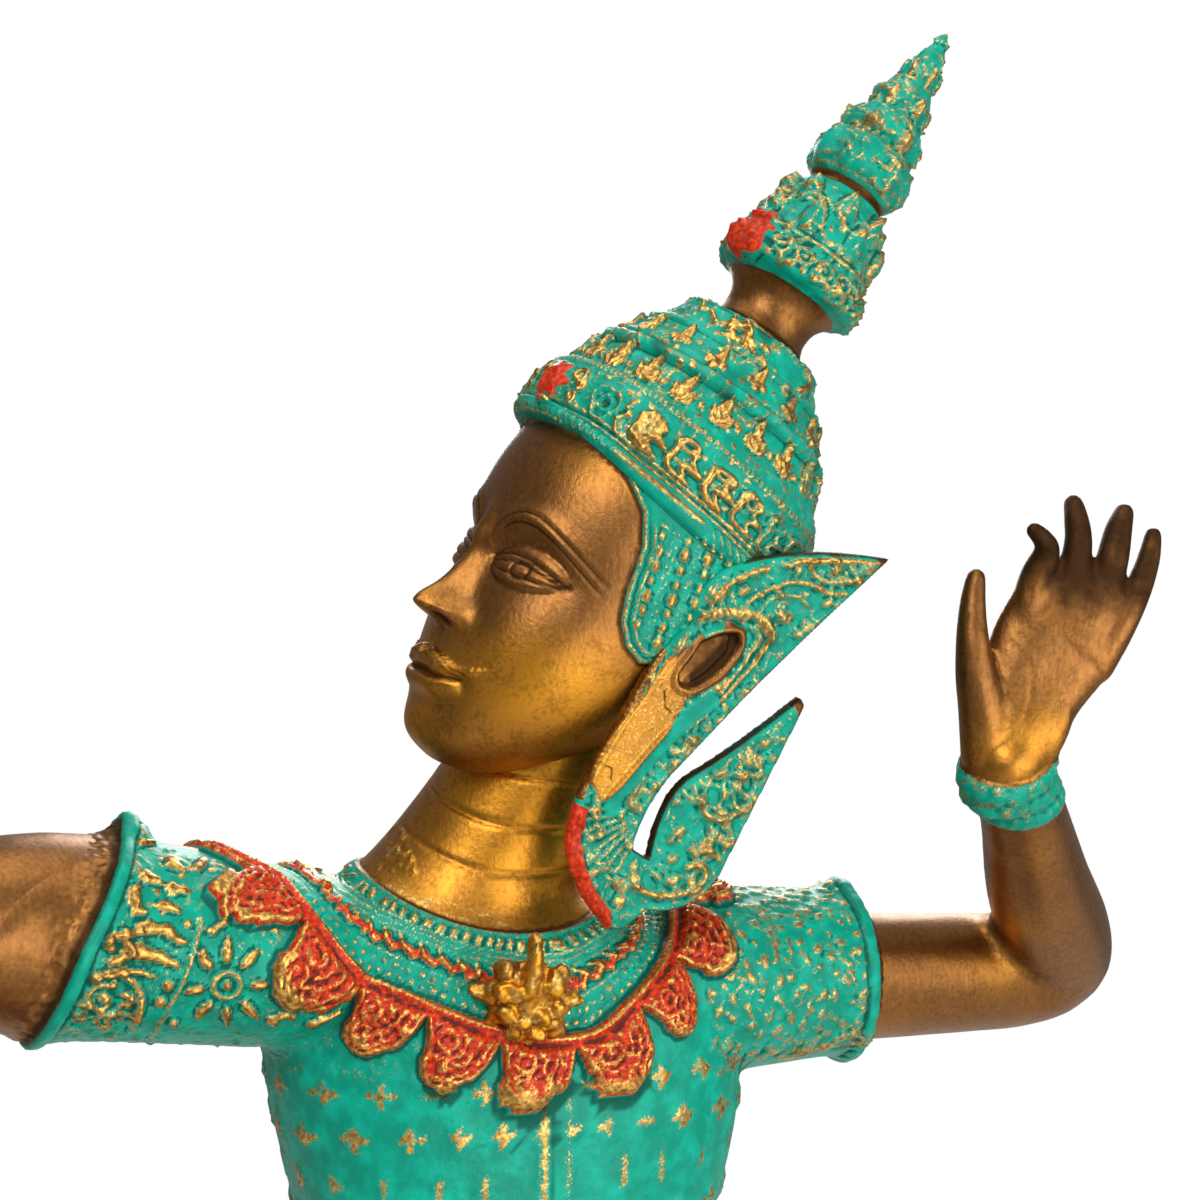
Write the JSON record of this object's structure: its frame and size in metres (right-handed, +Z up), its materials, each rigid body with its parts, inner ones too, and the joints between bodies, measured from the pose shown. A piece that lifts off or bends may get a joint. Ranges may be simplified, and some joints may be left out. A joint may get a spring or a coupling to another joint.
{
  "type": "rama statue",
  "caption": "Hollow cast bronze figure of a crowned dancer-prince kneeling on one knee with both arms out, with painted crown and collar, on a low base.",
  "frame": {"origin": "on the underside of the base, below the middle of the figure's trunk", "axes": "+Z up; the chest faces -Y; the figure's left hand side is +X, and its right arm and its face point to -X"},
  "size_m": [0.5116, 0.236, 0.661],
  "materials": {
    "bronze": "worn brown bronze, golden where handled, dark in the recesses, with teal, gold and red paint on crown, collar and belt",
    "painted_bronze": "worn teal enamel paint with raised gold scrolls and red edges over cast bronze",
    "base_bronze": "dark brown patinated bronze, rubbed golden on the edges"
  },
  "bodies": {
    "root": {"figure": "bronze", "crown_spire": "painted_bronze", "ear_ornament_left": "painted_bronze", "ear_ornament_right": "painted_bronze", "base": "base_bronze"}
  },
  "joints": []
}
